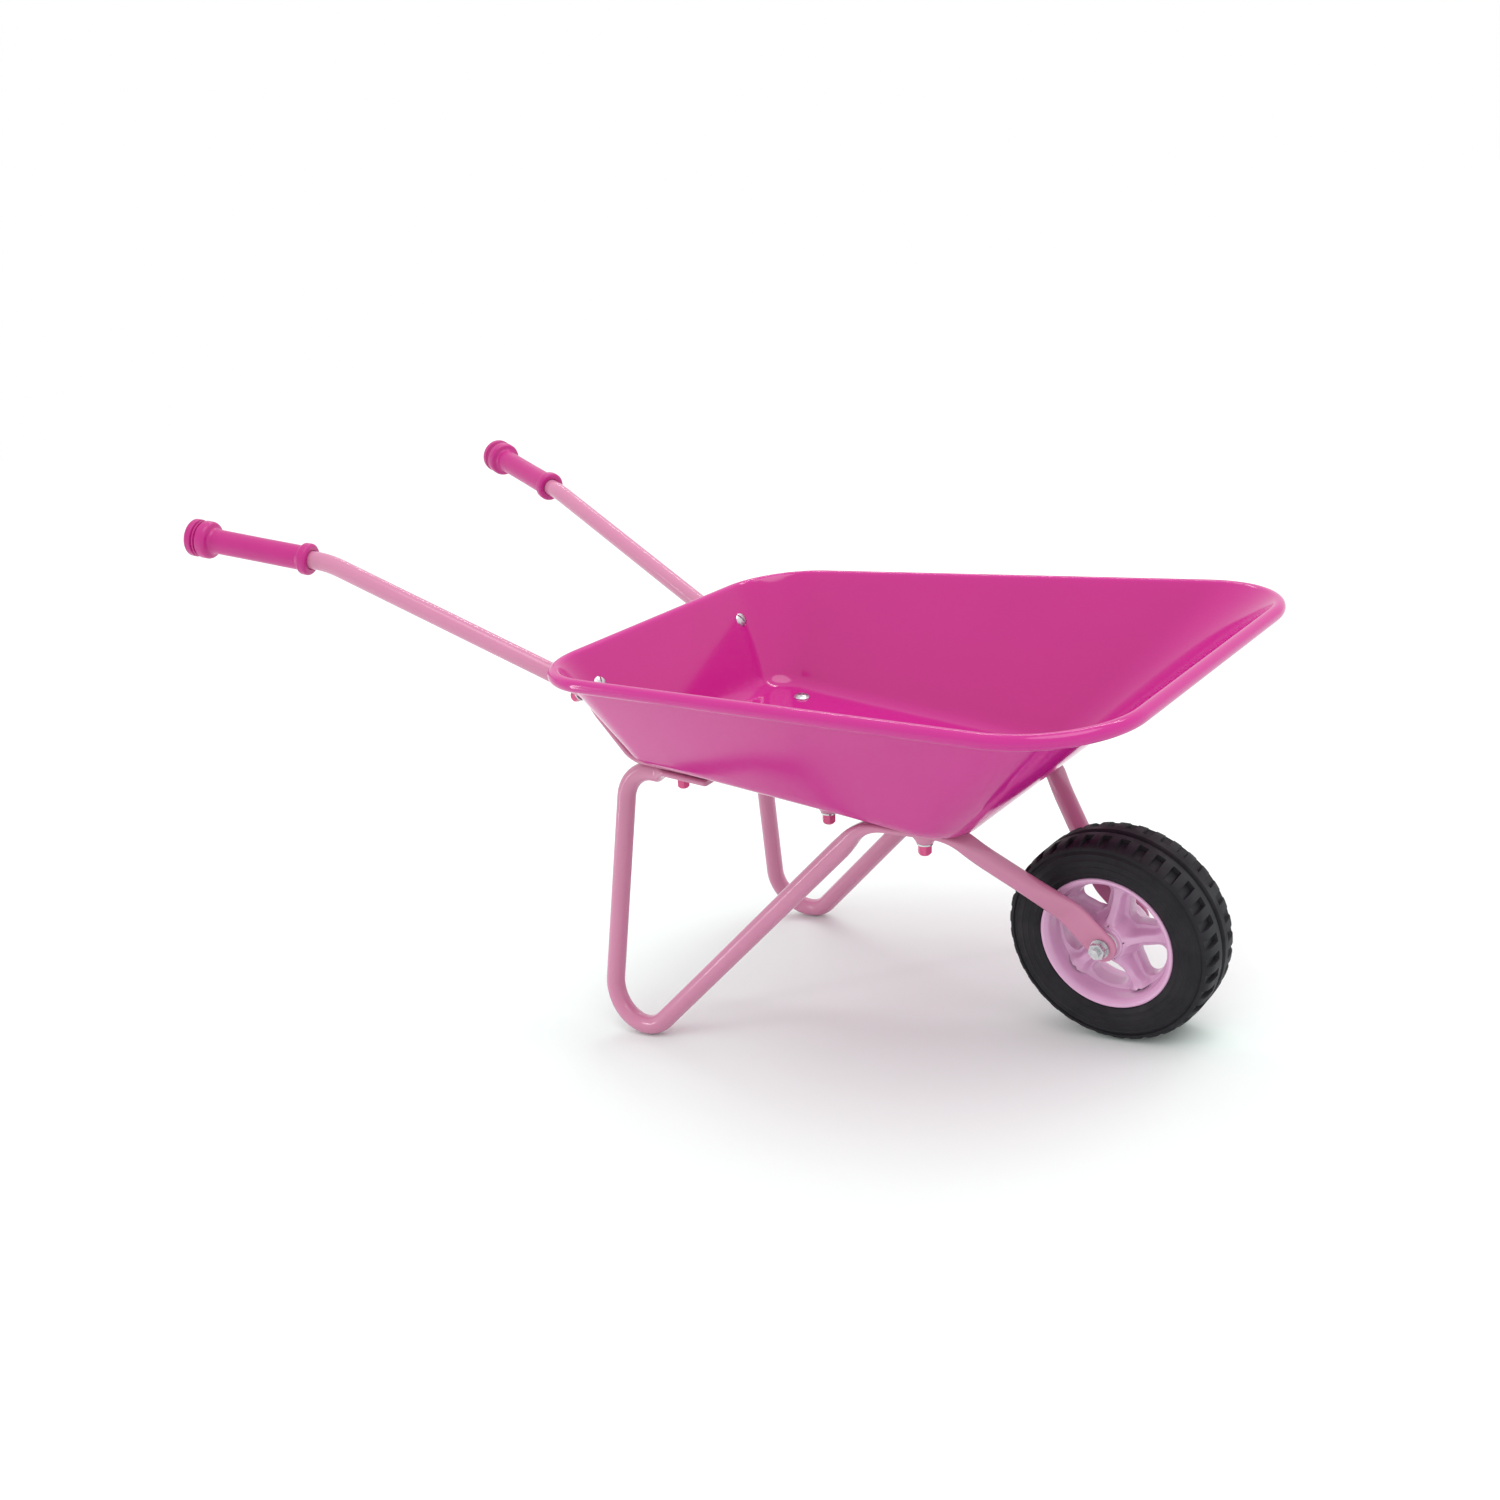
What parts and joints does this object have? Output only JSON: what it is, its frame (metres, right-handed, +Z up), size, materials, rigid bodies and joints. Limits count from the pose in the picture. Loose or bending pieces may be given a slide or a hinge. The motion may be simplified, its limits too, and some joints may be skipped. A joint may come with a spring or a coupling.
{
  "type": "wheelbarrow",
  "caption": "Child's wheelbarrow: pressed steel tray with rolled rim on bent tube handles and legs, ringed grips and one spoked wheel on a through axle.",
  "frame": {"origin": "on the ground, at the centre of the object's footprint box, under the middle of its length", "axes": "+X towards the wheel, +Y to the left-hand side, +Z up"},
  "size_m": [0.743, 0.357, 0.4238],
  "materials": {
    "tray_paint": "gloss powder coat, magenta",
    "tube_paint": "gloss powder coat, light pink",
    "grip_plastic": "smooth moulded plastic, magenta",
    "cap_plastic": "smooth moulded plastic, magenta",
    "zinc_steel": "bright zinc plate",
    "rim_plastic": "satin moulded plastic, lilac pink",
    "tyre_rubber": "matte black rubber",
    "bush_plastic": "natural nylon"
  },
  "bodies": {
    "frame": {"tray": "tray_paint", "handle_tube_left": "tube_paint", "handle_tube_right": "tube_paint", "leg_fork_tube_left": "tube_paint", "leg_fork_tube_right": "tube_paint", "rear_wall_sleeves": "tube_paint", "grip_left": "grip_plastic", "grip_right": "grip_plastic", "rear_wall_bolts": "zinc_steel", "rear_wall_washers": "zinc_steel", "rear_wall_cap_nuts": "cap_plastic", "floor_rear_bolts": "zinc_steel", "floor_rear_washers": "zinc_steel", "floor_rear_cap_nuts": "cap_plastic", "floor_middle_bolts": "zinc_steel", "floor_middle_washers": "zinc_steel", "floor_middle_cap_nuts": "cap_plastic", "floor_front_bolts": "zinc_steel", "floor_front_washers": "zinc_steel", "floor_front_cap_nuts": "cap_plastic", "axle_bolt": "zinc_steel", "axle_nut": "zinc_steel", "axle_washer_left": "zinc_steel", "axle_washer_right": "zinc_steel", "hub_spacer_left": "zinc_steel", "hub_spacer_right": "zinc_steel"},
    "wheel": {"wheel_rim": "rim_plastic", "tyre": "tyre_rubber", "hub_bushes": "bush_plastic"}
  },
  "joints": [
    {"name": "wheel_spin", "type": "hinge", "parent": "frame", "child": "wheel", "pos_m": [0.284, 0, 0.07], "axis": [0, 1, 0], "continuous": true}
  ]
}
